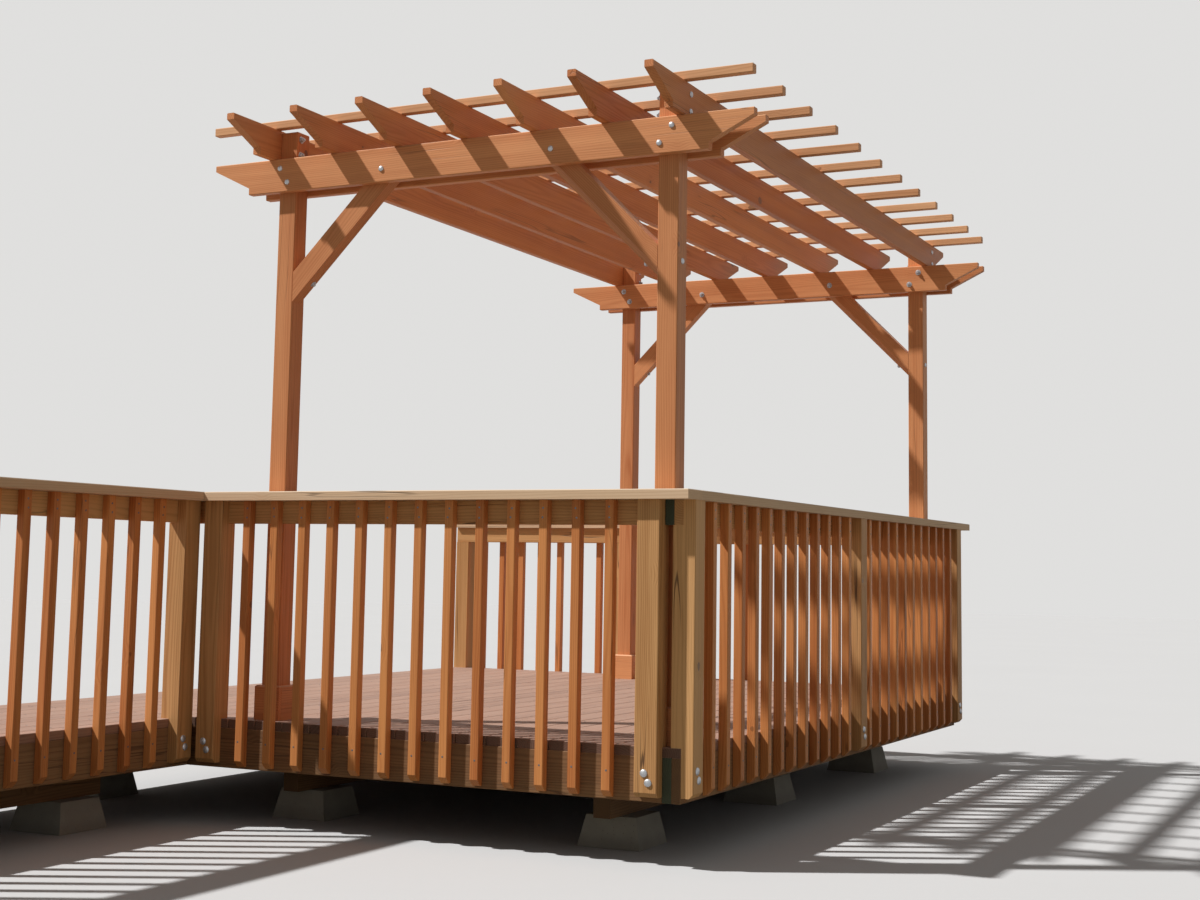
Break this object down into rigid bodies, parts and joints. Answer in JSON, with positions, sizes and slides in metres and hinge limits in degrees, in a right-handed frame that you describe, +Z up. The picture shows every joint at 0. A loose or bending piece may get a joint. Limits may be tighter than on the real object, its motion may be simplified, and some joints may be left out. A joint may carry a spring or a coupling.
{
  "type": "wooden pergola on a railed deck",
  "caption": "Open timber pergola with paired beams, shaped rafter tails and knee braces, standing on a low plank deck with baluster railings and a side wing.",
  "frame": {"origin": "middle of the bounding box at the lowest ground level, under the pier blocks", "axes": "+Z up, +Y from the wing towards the back railing along the rafters, +X along the beams away from the wall side"},
  "size_m": [3.687, 6.497, 3.103],
  "materials": {
    "frame_wood": "oiled reddish softwood, satin",
    "rail_wood": "weathered golden-brown stain, matt",
    "deck_wood": "worn reddish-grey boards, matt",
    "joist_wood": "stained sawn softwood, matt",
    "pier_concrete": "cast concrete, rough",
    "bolt_steel": "galvanised, dull"
  },
  "bodies": {
    "root": {"beam_back_inner": "frame_wood", "beam_back_outer": "frame_wood", "beam_front_inner": "frame_wood", "beam_front_outer": "frame_wood", "brace_back_left": "frame_wood", "brace_back_right": "frame_wood", "brace_front_left": "frame_wood", "brace_front_right": "frame_wood", "cap_back": "rail_wood", "cap_front": "rail_wood", "cap_right": "rail_wood", "cap_wing": "rail_wood", "deck_floor": "deck_wood", "girders": "joist_wood", "joists": "joist_wood", "ledger": "joist_wood", "pier_blocks": "pier_concrete", "post_back_left": "frame_wood", "post_back_right": "frame_wood", "post_collars": "frame_wood", "post_front_left": "frame_wood", "post_front_right": "frame_wood", "purlins": "frame_wood", "rafter_left": "frame_wood", "rafter_right": "frame_wood", "rafters_inner": "frame_wood", "rail_posts_back": "rail_wood", "rail_posts_front": "rail_wood", "rail_posts_right": "rail_wood", "rail_posts_wing": "rail_wood", "railing_back": "rail_wood", "railing_front": "rail_wood", "railing_right": "rail_wood", "railing_wing": "rail_wood", "rim_back": "joist_wood", "rim_front": "joist_wood", "rim_right": "joist_wood", "rim_wing_end": "joist_wood", "rim_wing_side": "joist_wood", "wing_floor": "deck_wood", "wing_joists": "joist_wood"}
  },
  "joints": []
}
